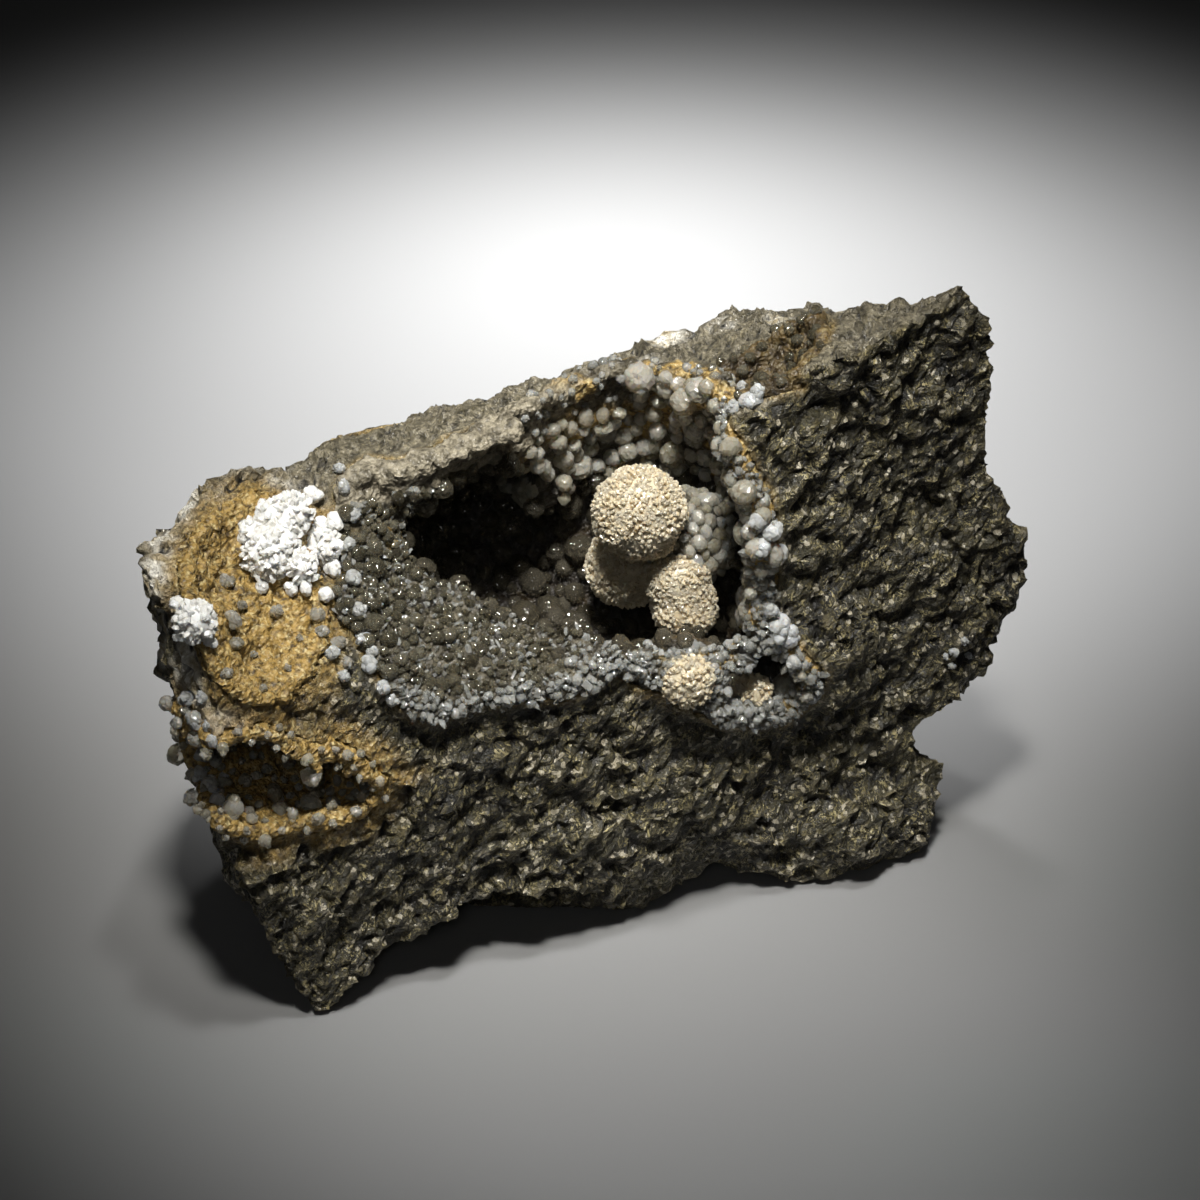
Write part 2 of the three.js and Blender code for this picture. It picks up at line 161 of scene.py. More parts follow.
class Nodes:
    """Short ways to add and join shader nodes in one material."""

    def __init__(self, name):
        self.material = bpy.data.materials.new(name)
        self.material.use_nodes = True
        self.tree = self.material.node_tree
        self.shader = self.tree.nodes["Principled BSDF"]

    def add(self, kind, values=None, **settings):
        node = self.tree.nodes.new(kind)
        for key, value in settings.items():
            setattr(node, key, value)
        for key, value in (values or {}).items():
            self.put(value, node.inputs[key])
        return node

    def put(self, value, socket):
        if isinstance(value, bpy.types.NodeSocket):
            self.tree.links.new(value, socket)
        else:
            socket.default_value = value

    def place(self):
        return self.add("ShaderNodeTexCoord").outputs["Object"]

    def noise(self, vector, size, detail=3.0, rough=0.55):
        """Noise with features of about size mm."""
        values = {"Vector": vector, "Scale": 1 / (size * MM), "Detail": detail, "Roughness": rough}
        return self.add("ShaderNodeTexNoise", values).outputs["Fac"]

    def cells(self, vector, size, feature="F1"):
        values = {"Vector": vector, "Scale": 1 / (size * MM)}
        return self.add("ShaderNodeTexVoronoi", values, feature=feature)

    def math(self, operation, a, b=0.0):
        node = self.add("ShaderNodeMath", operation=operation)
        self.put(a, node.inputs[0])
        self.put(b, node.inputs[1])
        return node.outputs[0]

    def vector(self, operation, a, b):
        node = self.add("ShaderNodeVectorMath", operation=operation)
        self.put(a, node.inputs[0])
        self.put(b, node.inputs[1])
        return node.outputs[0]

    def span(self, value, low, high, to_low=0.0, to_high=1.0):
        values = {"Value": value, "From Min": low, "From Max": high, "To Min": to_low, "To Max": to_high}
        return self.add("ShaderNodeMapRange", values).outputs["Result"]

    def mix(self, factor, a, b):
        node = self.add("ShaderNodeMix", data_type="RGBA")
        for value, index in ((factor, 0), (a, 6), (b, 7)):
            if isinstance(value, tuple):
                value = (*value, 1.0)
            self.put(value, node.inputs[index])
        return node.outputs[2]

    def attribute(self, name):
        return self.add("ShaderNodeAttribute", attribute_name=name).outputs["Fac"]

    def geometry(self, name):
        return self.add("ShaderNodeNewGeometry").outputs[name]

    def bump(self, height, depth, under=None):
        """A bump of depth mm, over another where one is given."""
        node = self.add("ShaderNodeBump", {"Height": height, "Distance": depth * MM})
        if under:
            self.put(under, node.inputs["Normal"])
        return node.outputs["Normal"]

    def finish(self, color, roughness, normal=None, **constants):
        if isinstance(color, tuple):
            color = (*color, 1.0)
        self.put(color, self.shader.inputs["Base Color"])
        self.put(roughness, self.shader.inputs["Roughness"])
        if normal:
            self.put(normal, self.shader.inputs["Normal"])
        for key, value in constants.items():
            self.shader.inputs[key.replace("_", " ")].default_value = value
        return self.material


def laths(n, vector, size, stretch=5.0):
    """Fine streaks that lie in another direction in each grain of about size mm."""
    grain = n.cells(vector, size)
    local = n.vector("SUBTRACT", vector, grain.outputs["Position"])
    turn = n.vector("MULTIPLY", grain.outputs["Color"], (6.283, 6.283, 6.283))
    turned = n.add("ShaderNodeVectorRotate", {"Vector": local, "Rotation": turn}, rotation_type="EULER_XYZ")
    squeezed = n.vector("MULTIPLY", turned.outputs[0], (1.0, stretch, stretch))
    return n.noise(squeezed, size * 0.8, 1.0)


def rust_of(n, at):
    """The yellow-brown of iron-stained clay, from dark pits to pale dust."""
    dark = n.mix(n.span(n.noise(at, 0.6, 4), 0.34, 0.58), (0.045, 0.026, 0.005), (0.33, 0.215, 0.06))
    dust = n.span(n.noise(n.vector("ADD", at, (0.3, 0.1, 0.2)), 0.5, 4), 0.52, 0.68)
    return n.mix(dust, dark, (0.5, 0.4, 0.19))


def basalt():
    n = Nodes("basalt")
    at = n.place()
    patch = n.noise(at, 3.2, 4)
    coarse = n.span(laths(n, at, 1.5), 0.53, 0.6)
    streaks = n.math("MAXIMUM", coarse, n.span(laths(n, at, 0.7), 0.55, 0.62, 0, 0.8))
    edges = n.geometry("Pointiness")
    glint_cells = n.cells(at, 0.42)
    shade = n.add("ShaderNodeSeparateColor", {"Color": glint_cells.outputs["Color"]})
    glint = n.span(shade.outputs[0], 0.9, 0.92)
    dark = n.mix(n.span(patch, 0.35, 0.65), (0.005, 0.0045, 0.002), (0.042, 0.037, 0.018))
    tan = n.mix(n.noise(at, 0.9, 2), (0.13, 0.105, 0.04), (0.44, 0.38, 0.2))
    lathed = n.mix(n.math("MULTIPLY", streaks, n.span(n.noise(at, 1.5), 0.4, 0.62)), dark, tan)
    # Painted highlights: pale glints at a few random cells, which are also made less rough below.
    painted_glints = n.mix(n.math("MULTIPLY", glint, 0.7), lathed, (0.5, 0.45, 0.34))
    # Paler on the sharp edges.
    pale_edged = n.mix(n.span(edges, 0.52, 0.62, 0, 0.7), painted_glints, (0.2, 0.165, 0.085))
    pale = n.mix(n.span(n.noise(at, 0.8, 4), 0.35, 0.62), (0.04, 0.034, 0.02), (0.25, 0.22, 0.15))
    # Paler grey-brown on the broken top and the top-left corner: a weathered crust, and up-facing faces
    # painted lighter as if lit from above.
    weathered_and_top_lit = n.mix(n.attribute("weather_and_top_light"), pale_edged, pale)
    chalk = n.mix(n.span(n.noise(at, 1.2, 3), 0.4, 0.6), (0.42, 0.35, 0.22), (0.86, 0.83, 0.74))
    chalky = n.mix(n.attribute("chalk"), weathered_and_top_lit, chalk)
    rusty = n.mix(n.attribute("ochre"), chalky, rust_of(n, at))
    # Painted shade: near-black where the surface curves inward, in creases and pits.
    color = n.mix(n.span(edges, 0.49, 0.43), rusty, (0.006, 0.005, 0.003))
    rough = n.math("SUBTRACT", n.span(streaks, 0, 1, 0.6, 0.36), n.math("MULTIPLY", glint, 0.25))
    fine = n.bump(n.noise(at, 0.28, 2), 0.16)
    normal = n.bump(n.math("ADD", streaks, n.noise(at, 0.7, 3)), 0.3, fine)
    return n.finish(color, rough, normal, Specular_IOR_Level=0.6)


def lining():
    """What the balls grow on: fine grey druse with ochre showing through, dark where no light comes in."""
    n = Nodes("lining")
    at = n.place()
    grain = n.cells(at, 0.34).outputs["Distance"]
    grey = n.mix(n.span(n.noise(at, 1.6, 3), 0.35, 0.65), (0.012, 0.01, 0.006), (0.085, 0.073, 0.046))
    color = n.mix(n.attribute("ochre"), grey, rust_of(n, at))
    pale = n.mix(n.span(n.noise(at, 0.8, 4), 0.35, 0.62), (0.05, 0.042, 0.026), (0.26, 0.23, 0.165))
    dusty = n.mix(n.attribute("dusty"), color, pale)
    deep = n.mix(n.attribute("deep"), dusty, (0.012, 0.009, 0.006))
    shade = n.mix(n.span(n.geometry("Pointiness"), 0.48, 0.4), deep, (0.02, 0.012, 0.004))
    normal = n.bump(n.math("ADD", grain, n.noise(at, 0.4, 3)), 0.16)
    return n.finish(shade, n.span(grain, 0, 0.6, 0.25, 0.6), normal, Specular_IOR_Level=0.5)


def crystal(name, deep, color, clear, roughness, scatter=0.0):
    """Crystal: clear is how much light goes through, scatter how milky it is. Each has its own shade."""
    n = Nodes(name)
    at = n.place()
    shade = n.geometry("Random Per Island")
    body = n.mix(shade, deep, color)
    cloud = n.mix(n.span(n.noise(at, 0.6, 3), 0.3, 0.7, 0, 0.45), body, color)
    normal = n.bump(n.cells(at, 0.26).outputs["Distance"], -0.05)
    material = n.finish(cloud, roughness, normal, IOR=1.49, Transmission_Weight=clear)
    if scatter:
        n.shader.inputs["Subsurface Weight"].default_value = scatter
        n.shader.inputs["Subsurface Radius"].default_value = (1.0, 0.8, 0.6)
        n.shader.inputs["Subsurface Scale"].default_value = 1.6 * MM
    return material


BASALT = basalt()
LINING = lining()
CAVE = crystal("cave_crystal", (0.14, 0.12, 0.07), (0.4, 0.36, 0.27), 0.9, 0.05)
GREY = crystal("grey_crystal", (0.1, 0.09, 0.055), (0.36, 0.33, 0.24), 0.8, 0.05, 0.2)
FROST = crystal("frosted_crystal", (0.5, 0.45, 0.31), (0.9, 0.86, 0.75), 0.72, 0.05, 0.4)
RIM = crystal("rim_crystal", (0.4, 0.4, 0.35), (0.78, 0.78, 0.73), 0.75, 0.06, 0.25)
PALE = crystal("pale_crystal", (0.6, 0.59, 0.52), (0.88, 0.89, 0.87), 0.55, 0.07, 0.35)
WHITE = crystal("white_crystal", (0.9, 0.87, 0.79), (0.97, 0.96, 0.92), 0.2, 0.14, 0.3)
CREAM = crystal("cream_crystal", (0.45, 0.35, 0.22), (0.54, 0.45, 0.31), 0.0, 0.16, 0.6)


# The rock

def grain_relief(q, strength):
    """One size of broken grains: each has its own tilted face, with a groove round it."""
    near, at = noise.voronoi(q)
    tilt = noise.cell_vector(at[0] * 5.3) - Vector((0.5, 0.5, 0.5))
    return strength * ((q - at[0]).dot(tilt) * 2.4 - 0.3 * max(0.0, 1 - (near[1] - near[0]) * 5))


def rock_relief(p):
    """How far the broken rock stands out at a place, in mm."""
    warp = noise.noise_vector(p * 0.4) * 0.8
    height = grain_relief(p * 0.24 + warp * 0.6, 0.75)
    height += grain_relief(p * 0.5 + warp, 0.42) + grain_relief(p * 1.1 + warp * 1.6, 0.3)
    height += noise.noise(p * 0.17) * 0.55 + noise.noise(p * 0.42 + Vector((9, 4, 1))) * 0.3
    height -= 1.7 * max(0.0, noise.noise(p * 0.55 + Vector((3, 7, 5))) - 0.28)
    return height + noise.noise(p * 1.7) * 0.16


def max_over(spots, foot, radius):
    """1 at any of the spots, falling to 0 at a radius from it."""
    gaps = np.min([np.linalg.norm(foot - spot, axis=1) for spot in spots], axis=0)
    return smoothstep(radius, radius * 0.3, gaps)


def make_rock():
    rock = remeshed("basalt_matrix", "basalt_block", 0.53, 2)
    mesh = rock.data
    co, normal = points_of(mesh), normals_of(mesh)
    ochre_tree = tree_of(nodes["left_scoop_crust"].data, nodes["left_alcove_crust"].data)
    grey_tree = tree_of(nodes["main_vug_crust"].data, nodes["top_vug_crust"].data)
    to_ochre, to_grey = distances(ochre_tree, co), distances(grey_tree, co)
    near = np.minimum(to_ochre, to_grey)
    relief = np.array([rock_relief(Vector(p)) for p in co])
    relief *= smoothstep(0.4, 2.4, near) * 0.85 + 0.15
    under = (normal[:, 2] < -0.7) & (co[:, 2] < 1.0)
    relief[under] = np.minimum(relief[under], 0) * 0.4
    co += normal * (relief - 0.1 + 0.4 * smoothstep(1.2, 0.4, near) * (near < 1.2))[:, None]
    low, high = (np.array(corner) / MM for corner in cad_box)
    set_points(mesh, np.clip(co, low, high))
    foot = co - FRONT_FOOT
    rough = wobble(co, 3.0)
    # Up-facing faces high on the block: a weathered crust, and painted lighter as if lit from above.
    top = smoothstep(0.35, 0.8, normal[:, 2]) * smoothstep(38, 44, foot[:, 2])
    left = smoothstep(-28, -35, foot[:, 0]) * smoothstep(26, 32, foot[:, 2])
    corner = smoothstep(41, 45, foot[:, 2]) * smoothstep(-19, -27, foot[:, 0])
    dusty = max_over(np.array([[14, 20, 47], [24, 24, 48], [29, 22, 49], [19, 26, 47]]), foot, 2.6)
    paint(mesh, "weather_and_top_light", top * 0.8 + corner * 0.5 + rough * 0.25 * (top > 0.1))
    chalk = np.maximum(np.maximum(left, corner * 0.6), dusty)
    paint(mesh, "chalk", chalk * smoothstep(-0.35, 0.35, rough + dusty * 0.4))
    ochre = smoothstep(3.4, 0.8, to_ochre + rough * 1.6) + 0.7 * smoothstep(1.0, 0.2, to_grey + rough * 0.7)
    paint(mesh, "ochre", ochre * 0.9)
    mesh.materials.append(BASALT)
    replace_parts(as_piece(rock), "basalt_matrix")
    return rock


rock = make_rock()


# The linings

def make_lining(node, name, depth, looks_of):
    """A crust's own surface: domes where balls grow, and the fibres of the ochre between them."""
    piece = remeshed(node, name, 0.4, 6)
    mesh = piece.data
    co, normal = points_of(mesh), normals_of(mesh)
    bumps = []
    for p in co:
        q = Vector(p)
        near, _ = noise.voronoi(q * 0.95)
        fine, _ = noise.voronoi(q * 2.2)
        dome = 0.5 * math.sqrt(max(0.0, 1 - (near[0] * 1.4) ** 2)) + 0.16 * (1 - fine[0])
        bumps.append(depth * (dome + 0.5 * noise.noise(q * 0.8) + 0.35 * abs(noise.noise(q * 2.1))) - 0.1)
    co += normal * np.array(bumps)[:, None]
    set_points(mesh, co)
    for look, values in looks_of(co - FRONT_FOOT, normal, wobble(co, 2.8)).items():
        paint(mesh, look, values)
    mesh.materials.append(LINING)
    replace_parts(as_piece(piece), node)
    return piece


RAMP_NORMAL, RAMP_OFF = np.array([0.17, -0.66, 0.73]), 19.2


def on_ramp(foot, normal):
    """The smooth slope at the left of the main vug, in front of its crest."""
    off = foot @ RAMP_NORMAL - RAMP_OFF
    crest = foot @ np.array([0.62, 0.45, 0.1])
    return (np.abs(off) < 3.4) & (crest < 4) & (normal @ RAMP_NORMAL > 0.3)


def on_roof(foot, normal):
    """The lip of the crust on the broken top."""
    return (foot[:, 2] > 44.6) & (normal[:, 2] > 0.25)


def main_looks(foot, normal, rough):
    roof = smoothstep(38, 42, foot[:, 2]) * smoothstep(6, 12, foot[:, 1])
    lip = on_roof(foot, normal) | ((foot[:, 2] > 44.2) & (foot[:, 1] > 8.5) & (foot[:, 0] < 11))
    rim = smoothstep(8, 5.5, foot[:, 1]) * smoothstep(8, 12, foot[:, 0]) * smoothstep(26, 30, foot[:, 2])
    ramp = on_ramp(foot, normal)
    lit = np.maximum(smoothstep(33, 43, foot[:, 2]) * smoothstep(-4, 3, foot[:, 0]), ramp)
    low = smoothstep(1.5, 4, foot[:, 0]) * smoothstep(0, 1.2, foot[:, 1]) * smoothstep(31, 29, foot[:, 2])
    # Painted shade: near-black deep in the cave, away from the lit ramp, the high part and the right rim,
    # and in the low hollow at the right; never on the roof lip.
    deep = np.maximum(smoothstep(2.5, 6.5, foot[:, 1]) * (1 - lit) * (1 - rim), low) * (1 - lip)
    return {"ochre": smoothstep(0.15, 0.5, rough + 0.3 * roof + 0.6 * rim - 0.4 * ramp) * 0.9,
            "dusty": lip * smoothstep(9, 3, foot[:, 0] + 6 * rough),
            "deep": deep * 0.92}


def ochre_looks(foot, normal, rough):
    return {"ochre": 1 + 0 * rough}


def shaded_brown_looks(foot, normal, rough):
    # The small hollow in the top: ochre-brown, and darkened by painted shade.
    return {"ochre": 0.85 + 0 * rough, "deep": 0.7 + 0.3 * rough}


main_lining = make_lining("main_vug_crust", "main_lining", 0.75, main_looks)
scoop_lining = make_lining("left_scoop_crust", "scoop_lining", 0.9, ochre_looks)
alcove_lining = make_lining("left_alcove_crust", "alcove_lining", 0.8, ochre_looks)
top_lining = make_lining("top_vug_crust", "top_lining", 0.8, shaded_brown_looks)

rock_tree = tree_of(nodes["basalt_matrix"].data)
seen_tree = tree_of(rock.data, main_lining.data, scoop_lining.data, alcove_lining.data, top_lining.data)


def seen(x, y):
    """The place that the camera sees at a pixel of the picture, and the normal there."""
    across = RIGHT * HALF_VIEW * (x - HALF_PICTURE) / HALF_PICTURE
    ray = -BACK + across + UP * HALF_VIEW * (HALF_PICTURE - y) / HALF_PICTURE
    spot, normal, _, _ = seen_tree.ray_cast(Vector(TARGET + BACK * DISTANCE), Vector(ray))
    return (np.array(spot), np.array(normal)) if spot else (None, None)


# Balls and crystals

def round_ball(detail):
    """The vertices and faces of a round ball of triangles."""
    bm = bmesh.new()
    bmesh.ops.create_icosphere(bm, subdivisions=detail, radius=1.0)
    co = np.array([v.co for v in bm.verts])
    faces = np.array([[v.index for v in f.verts] for f in bm.faces])
    bm.free()
    return co, faces


BALLS = {detail: round_ball(detail) for detail in (1, 2, 3, 4)}


def ball_cloud(name, places, material, jitter=0.045):
    """Joins balls of crystal into one piece. Each place is (spot, normal, radius), in mm."""
    all_co, all_faces, count = [], [], 0
    for spot, normal, radius in places:
        detail = 1 if radius < 0.42 else 2 if radius < 1.0 else 3
        co, faces = BALLS[detail]
        turn = np.linalg.qr(rng.normal(size=(3, 3)))[0]
        shape = co @ turn * (1 + jitter * rng.normal(size=(len(co), 1))) * (1 + 0.12 * rng.normal(size=3))
        keep = (shape[faces].mean(1) @ normal) > -0.45
        used, back = np.unique(faces[keep], return_inverse=True)
        all_co.append(shape[used] * radius + spot)
        all_faces.append(back.reshape(-1, 3) + count)
        count += len(used)
    return mesh_piece(name, np.concatenate(all_co), np.concatenate(all_faces), material)


def raised(spots, normal, radius, lift=0.3):
    """Places for balls whose centres stand out of the surface by lift times their radius."""
    return [(s + n * r * lift, n, r) for s, n, r in zip(spots, normal, radius)]


def clumps(places, number):
    """Each ball as a bunch of smaller ones, run together."""
    parts = []
    for spot, normal, radius in places:
        parts.append((spot, normal, radius * 0.72))
        for _ in range(number):
            out = rng.normal(size=3)
            out = out / np.linalg.norm(out) + 0.7 * normal
            out /= np.linalg.norm(out)
            place = spot + out * radius * rng.uniform(0.4, 0.62)
            parts.append((place, out, radius * rng.uniform(0.3, 0.5)))
    return parts


CRYSTAL_FACES = np.array([[i, (i + 1) % 4, 4 + (i + 1) % 4] for i in range(4)]
                         + [[i, 4 + (i + 1) % 4, 4 + i] for i in range(4)]
                         + [[4 + i, 4 + (i + 1) % 4, 8] for i in range(4)])


def crystals_at(spots, directions, length, width):
    """Small four-sided crystals with pointed ends: their vertices and faces. All in mm."""
    count = len(spots)
    directions = directions / np.linalg.norm(directions, axis=1, keepdims=True)
    side = np.cross(directions, rng.normal(size=(count, 3)))
    side /= np.linalg.norm(side, axis=1, keepdims=True)
    other = np.cross(directions, side)
    co = np.empty((count, 9, 3))
    for ring, height in ((0, -0.3), (4, 0.62)):
        for i, (a, b) in enumerate(((1, 0), (0, 1), (-1, 0), (0, -1))):
            across = (side * a + other * b * 0.75) * width[:, None]
            co[:, ring + i] = spots + across + directions * (height * length)[:, None]
    co[:, 8] = spots + directions * length[:, None]
    faces = CRYSTAL_FACES[None] + 9 * np.arange(count)[:, None, None]
    return co.reshape(-1, 3), faces.reshape(-1, 3)


def scatter(mesh, wanted, spacing_of, tries):
    """Places on a mesh, no two nearer than their spacing. wanted says which faces take part."""
    co = points_of(mesh)
    quads = [list(p.vertices) for p in mesh.polygons]
    tris = np.array([q[:3] for q in quads] + [[q[2], q[3], q[0]] for q in quads if len(q) == 4])
    a, b, c = co[tris[:, 0]], co[tris[:, 1]], co[tris[:, 2]]
    cross = np.cross(b - a, c - a)
    area = np.linalg.norm(cross, axis=1)
    normal = cross / (area[:, None] + 1e-12)
    area = area * wanted((a + b + c) / 3, normal)
    pick = rng.choice(len(tris), tries, p=area / area.sum())
    u, v = rng.random(tries), rng.random(tries)
    flip = u + v > 1
    u[flip], v[flip] = 1 - u[flip], 1 - v[flip]
    spots = a[pick] + (b - a)[pick] * u[:, None] + (c - a)[pick] * v[:, None]
    facing = normal[pick]
    spacing = spacing_of(spots - FRONT_FOOT, facing)
    kept, grid = [], {}
    reach = max(spacing.max(), 0.1)
    for i, (spot, gap) in enumerate(zip(spots, spacing)):
        if gap <= 0:
            continue
        key = tuple((spot // reach).astype(int))
        close = [j for dx in (-1, 0, 1) for dy in (-1, 0, 1) for dz in (-1, 0, 1)
                 for j in grid.get((key[0] + dx, key[1] + dy, key[2] + dz), ())]
        if close:
            gaps = np.sum((spots[close] - spot) ** 2, axis=1)
            if np.any(gaps < (0.5 * (gap + spacing[close])) ** 2):
                continue
        grid.setdefault(key, []).append(i)
        kept.append(i)
    return spots[kept], facing[kept], spacing[kept]


def inner_side(gap):
    """Keeps to the open side of a lining: at least gap mm from the rock."""
    return lambda centre, normal: (distances(rock_tree, centre) > gap).astype(float)


def any_of(sizes, shares, count):
    return rng.choice(sizes, count, p=shares)


def zones(foot, normal):
    """Which part of the main vug each place is in: its ramp, its front rims, its roof lip, or the cave."""
    roof = on_roof(foot, normal) | ((foot[:, 2] > 45.2) & (foot[:, 1] > 9) & (foot[:, 0] < 12))
    roof |= (foot[:, 2] > 43.5) & (foot[:, 1] > 12.5) & (foot[:, 0] < -9)
    ramp = on_ramp(foot, normal) & ~roof
    sill = (foot[:, 1] < np.where(foot[:, 0] < -3, -0.2, 0.9)) & (foot[:, 2] < 34) & ~roof
    right = (foot[:, 1] < 6.5) & (foot[:, 0] > 10) & (foot[:, 2] > 29.5)
    right = (right | ((foot[:, 1] < 2) & (foot[:, 0] > 17.5))) & ~sill & ~roof
    return ramp & ~sill, sill, right, roof


def main_spacing(foot, normal):
    """How far apart the balls are, in mm."""
    count = len(foot)
    ramp, sill, right, roof = zones(foot, normal)
    left = foot[:, 0] < -16
    gap = any_of([1.25, 1.6, 2.1], [0.35, 0.4, 0.25], count)
    gap = np.where(ramp, np.where(left, any_of([0.9, 1.3, 1.7], [0.5, 0.3, 0.2], count),
                                  any_of([0, 0.8, 1.1], [0.8, 0.12, 0.08], count)), gap)
    gap = np.where(sill, any_of([0, 0.7, 0.95], [0.5, 0.35, 0.15], count), gap)
    gap = np.where(right, any_of([0, 1.2, 1.9], [0.3, 0.3, 0.4], count), gap)
    return np.where(roof, any_of([0, 0.7], [0.93, 0.07], count) * (foot[:, 0] > -1), gap)


def main_druse():
    """The balls of the main vug, in a kind of crystal for each part of it."""
    spots, normal, gap = scatter(main_lining.data, inner_side(0.75), main_spacing, tries=26000)
    foot = spots - FRONT_FOOT
    ramp, sill, right, roof = zones(foot, normal)
    radius = gap * 0.57 * rng.uniform(0.85, 1.2, len(gap))
    high = (foot[:, 0] > -1) & (foot[:, 2] > 37)
    front = sill | roof | right
    cave = ~(ramp | front | high)
    kinds = {
        "cave_balls": (cave, CAVE),
        "high_balls": (high & ~front & ~ramp, FROST),
        "ramp_balls": (ramp, GREY),
        "rim_crystals": (sill | roof, RIM),
        "right_balls": (right, FROST),
    }
    for name, (which, material) in kinds.items():
        ball_cloud(name, raised(spots[which], normal[which], radius[which]), material)


GRAIN_GAP = 0.5  # how far apart the fine grains are, in mm


def fine_druse():
    """Fine grains and points of crystal: dense on the ramp and the rims."""
    def wanted(centre, normal):
        ramp, sill, right, roof = zones(centre - FRONT_FOOT, normal)
        return (ramp | sill | right) * inner_side(0.5)(centre, normal)

    spots, normal, gap = scatter(main_lining.data, wanted, lambda foot, n: np.full(len(foot), GRAIN_GAP),
                                 tries=16000)
    ramp, sill, right, roof = zones(spots - FRONT_FOOT, normal)
    radius = rng.uniform(0.24, 0.4, len(gap))
    round_ones = rng.random(len(gap)) < 0.55
    for name, which, material in (("ramp_grains", ramp, GREY), ("rim_grains", ~ramp, RIM)):
        which = which & round_ones
        ball_cloud(name, raised(spots[which], normal[which], radius[which]), material, 0.12)
    pointed = ~round_ones
    tilted = normal[pointed] + 0.5 * rng.normal(size=(pointed.sum(), 3))
    longer = np.where(ramp[pointed], 1.0, 1.5)
    length = rng.uniform(0.4, 0.75, pointed.sum()) * longer
    width = rng.uniform(0.18, 0.32, pointed.sum()) * longer
    co, faces = crystals_at(spots[pointed], tilted, length, width)
    mesh_piece("ramp_crystals", co, faces, RIM)


def left_druse():
    """The balls of the alcove and of the small vug in the top."""
    def alcove_spacing(foot, normal):
        return any_of([1.2, 1.7, 2.4], [0.4, 0.35, 0.25], len(foot)) * (foot[:, 2] > 20)

    def top_spacing(foot, normal):
        return any_of([0, 1.3], [0.85, 0.15], len(foot))

    spots, normal, gap = scatter(alcove_lining.data, inner_side(0.4), alcove_spacing, tries=9000)
    radius = gap * 0.5 * rng.uniform(0.8, 1.15, len(gap))
    ball_cloud("alcove_balls", clumps(raised(spots, normal, radius, 0.5), 2), FROST)
    spots, normal, gap = scatter(top_lining.data, inner_side(0.55), top_spacing, tries=1500)
    ball_cloud("top_vug_balls", raised(spots, normal, gap * 0.4, 0.2), GREY)


# Balls that stand out, each as (x, y, radius) in pixels of the picture.
SHOULDER = [(262, 555, 25), (292, 520, 20), (280, 540, 17), (318, 545, 18), (300, 568, 15), (272, 518, 14),
            (248, 530, 11)]
SHOULDER_EDGE = [(336, 520, 13), (332, 570, 13), (310, 496, 13), (290, 590, 10), (262, 586, 10),
                 (345, 548, 12), (325, 596, 10), (318, 522, 12), (340, 536, 11), (306, 590, 9)]
LEFT_PATCH = [(195, 618, 19), (182, 602, 11), (206, 640, 10), (184, 634, 11)]
SCATTERED = [(225, 585, 10), (230, 620, 11), (235, 645, 9), (275, 612, 9), (318, 618, 10), (335, 645, 10),
             (225, 675, 8), (290, 668, 6), (252, 655, 6), (300, 640, 6), (262, 690, 6), (345, 665, 8),
             (322, 632, 9), (240, 606, 7)]
LEFT_EDGE = [(190, 700, 11), (199, 716, 12), (191, 734, 12), (201, 752, 13), (197, 772, 11), (208, 788, 12),
             (215, 803, 10), (208, 728, 9), (214, 760, 9), (222, 780, 8), (204, 698, 9), (212, 742, 8)]
RIDGE = [(345, 490, 10), (353, 515, 9), (350, 545, 10), (352, 580, 11), (358, 610, 10), (365, 640, 10),
         (368, 668, 12), (382, 690, 11), (374, 652, 8), (392, 702, 9), (340, 470, 9), (330, 655, 10),
         (343, 676, 8)]
TOP_PAIR = [(748, 400, 15), (735, 411, 10), (760, 393, 10), (742, 388, 8)]
RIGHT_RIM = [(700, 440, 10), (712, 455, 9), (722, 470, 9), (735, 487, 9), (748, 508, 10), (728, 455, 8),
             (760, 580, 10), (772, 592, 9), (798, 672, 10), (806, 694, 10), (742, 530, 9), (750, 560, 8)]
RIGHT_MASSES = [(768, 528, 15), (762, 546, 13), (776, 554, 12), (757, 520, 12), (779, 622, 17),
                (768, 608, 12), (786, 640, 15), (775, 634, 13), (792, 660, 11)]
NOTCH = [(955, 650, 7), (963, 640, 6), (950, 665, 6), (968, 655, 5), (945, 655, 5)]


def spread_over_ball(number):
    """Directions spread evenly over a ball."""
    up = 1 - (2 * np.arange(number) + 1) / number
    turn = np.arange(number) * math.pi * (3 - math.sqrt(5))
    across = np.sqrt(1 - up * up)
    return np.stack([across * np.cos(turn), across * np.sin(turn), up], 1)


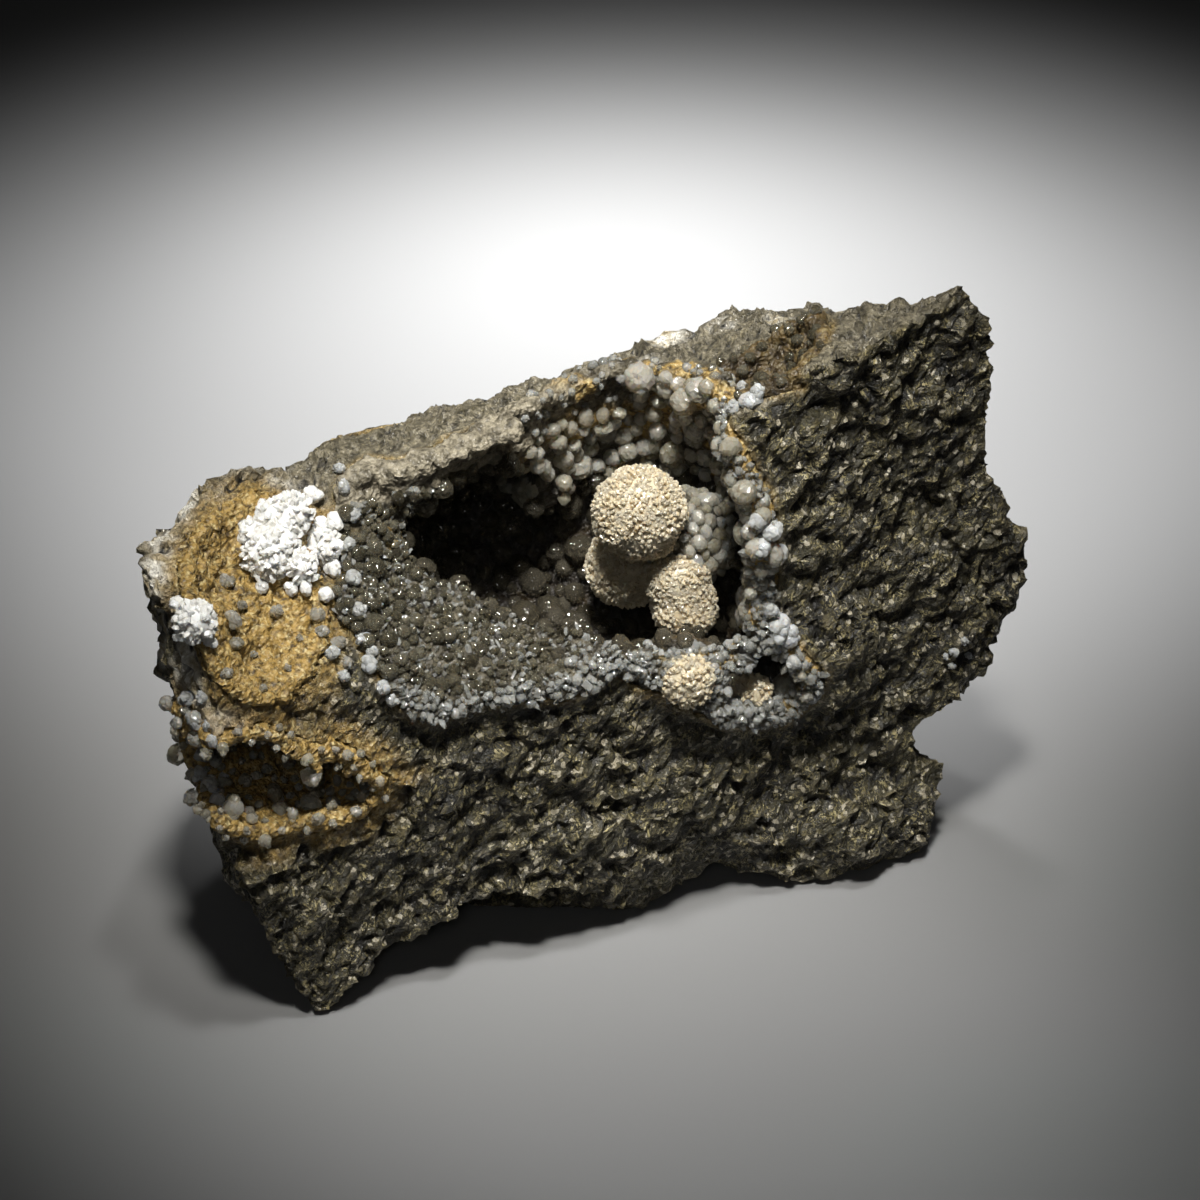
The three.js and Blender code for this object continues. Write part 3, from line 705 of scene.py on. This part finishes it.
def druse_balls(name, balls, material, point):
    """Balls covered with small pointed crystals of about point mm. Each ball is (centre, radius), in mm."""
    co, faces, count = [], [], 0
    for at, (centre, radius) in enumerate(balls):
        ball, ball_faces = BALLS[4 if radius > 2 else 3]
        number = int(4 * math.pi * radius ** 2 / (point * 0.66) ** 2)
        out = spread_over_ball(number)
        out += 0.3 * rng.normal(size=out.shape) * point / radius
        out /= np.linalg.norm(out, axis=1, keepdims=True)
        lumps = np.array([noise.noise(Vector(p * 2.2) + Vector(centre)) for p in out])
        spots = centre + out * (radius * 0.95 + 0.1 * radius * lumps)[:, None]
        for other, (middle, reach) in enumerate(balls):
            if other != at:
                bare = np.linalg.norm(spots - middle, axis=1) > reach * 0.9
                spots, out = spots[bare], out[bare]
        length = point * rng.uniform(0.35, 0.8, len(out))
        width = point * rng.uniform(0.3, 0.55, len(out))
        for c, f in ((ball * radius * 0.96 + centre, ball_faces),
                     crystals_at(spots, out + 0.3 * rng.normal(size=out.shape), length, width)):
            co.append(c)
            faces.append(f + count)
            count += len(c)
    return mesh_piece(name, np.concatenate(co), np.concatenate(faces), material)


def seen_balls(places):
    """The balls at some pixels of the picture, each as (spot, normal, radius), in mm."""
    balls = []
    for x, y, size in places:
        spot, normal = seen(x, y)
        if spot is not None:
            radius = size * PIXEL
            balls.append((spot + normal * radius * 0.35, normal, radius))
    return balls


def sugared(name, places, material, point):
    """Balls at some pixels of the picture, each covered with points."""
    balls = [(spot, radius) for spot, _, radius in seen_balls(places)]
    return druse_balls(name, balls, material, point)


def bunched(name, places, material, number=6):
    """Balls at some pixels of the picture, each as a bunch of number smaller ones."""
    return ball_cloud(name, clumps(seen_balls(places), number), material)


main_druse()
fine_druse()
left_druse()
sugared("white_shoulder", SHOULDER + LEFT_PATCH[:1], WHITE, 0.9)
bunched("shoulder_edge", SHOULDER_EDGE + LEFT_PATCH[1:], WHITE, 5)
bunched("left_edge_balls", LEFT_EDGE, PALE)
bunched("scoop_balls", SCATTERED, FROST)
bunched("ridge_balls", RIDGE, PALE, 9)
bunched("right_rim_balls", RIGHT_RIM, FROST)
bunched("right_rim_masses", RIGHT_MASSES, PALE, 5)
bunched("top_vug_pair", TOP_PAIR, PALE, 9)
bunched("notch_crystals", NOTCH, PALE)

# The larger balls, each as its centre and radius in mm, and those on the rim in pixels like the others.
CREAM_BALLS = [((8.4, 9.6, 39.2), 4.3), ((9, 13.4, 31.4), 3.8), ((11.6, 7.6, 32), 2.9),
               ((11.9, 7, 29.8), 3.0)]
WALL_BALL = ((14.2, 11, 34.6), 4.2)
WALL_BALL_DRUSE = 150
RIM_BALLS = [(690, 674, 26), (757, 698, 18)]


def wall_ball():
    """The ball that the cream ones grow from: it carries the same druse as the wall."""
    centre, reach = np.array(WALL_BALL[0]) + FRONT_FOOT, WALL_BALL[1]
    co, faces = BALLS[4]
    mesh_piece("wall_ball", co * reach + centre, faces, LINING)
    out = spread_over_ball(WALL_BALL_DRUSE)
    places = [(centre + n * reach, n, r) for n, r in zip(out, rng.uniform(0.4, 0.9, WALL_BALL_DRUSE))]
    ball_cloud("wall_ball_druse", places, FROST)


wall_ball()
cream_spots = [(np.array(centre) + FRONT_FOOT, radius) for centre, radius in CREAM_BALLS]
cream = druse_balls("cream_balls", cream_spots, CREAM, 0.6)
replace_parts(cream, "cream_sphere_cluster")
sugared("rim_balls", RIM_BALLS, CREAM, 0.7)


# Camera, floor and light

def aimed(obj, place, target):
    obj.location = place
    obj.rotation_euler = (Vector(target) - Vector(place)).to_track_quat("-Z", "Y").to_euler()
    bpy.context.scene.collection.objects.link(obj)


def spot_light(name, place, target, power, angle, softness, color=(1, 1, 1)):
    """A soft-edged spot. Places are in metres, the angle in degrees."""
    lamp = bpy.data.lights.new(name, "SPOT")
    lamp.energy = power
    lamp.color = color
    lamp.spot_size = math.radians(angle)
    lamp.spot_blend = 1.0
    lamp.shadow_soft_size = softness
    aimed(bpy.data.objects.new(name, lamp), place, target)


camera = bpy.data.objects.new("camera", bpy.data.cameras.new("camera"))
camera.data.lens = 180
camera.data.clip_start = 0.01
aimed(camera, ((TARGET + BACK * DISTANCE) * MM).tolist(), (TARGET * MM).tolist())
bpy.context.scene.camera = camera

floor_mesh = bpy.data.meshes.new("floor")
floor_mesh.from_pydata([(-3, -3, 0), (3, -3, 0), (3, 3, 0), (-3, 3, 0)], [], [(0, 1, 2, 3)])
floor = bpy.data.objects.new("floor", floor_mesh)
bpy.context.scene.collection.objects.link(floor)
floor_mesh.materials.append(Nodes("floor").finish((0.195, 0.195, 0.194), 0.6))

spot_light("key", (-0.075, -0.15, 0.4), (0, -0.002, 0.032), 18.5, 15.5, 0.04, (1, 0.98, 0.94))
spot_light("fill", (-0.2, -0.42, 0.34), (0, -0.01, 0.03), 3.5, 12, 0.1)
spot_light("backdrop", (0.057, 0.127, 0.4), (0.057, 0.107, 0), 16.0, 12, 0.03)
spot_light("backdrop_wide", (0.057, 0.127, 0.4), (0.05, 0.08, 0), 22.0, 28, 0.03)
spot_light("foreground", (0.01, -0.1, 0.4), (-0.002, -0.04, 0), 17.0, 10.5, 0.05)

world = bpy.data.worlds.new("world")
world.use_nodes = True
world.node_tree.nodes["Background"].inputs["Color"].default_value = (0.015, 0.015, 0.015, 1)
bpy.context.scene.world = world
bpy.context.scene.view_settings.view_transform = "Standard"
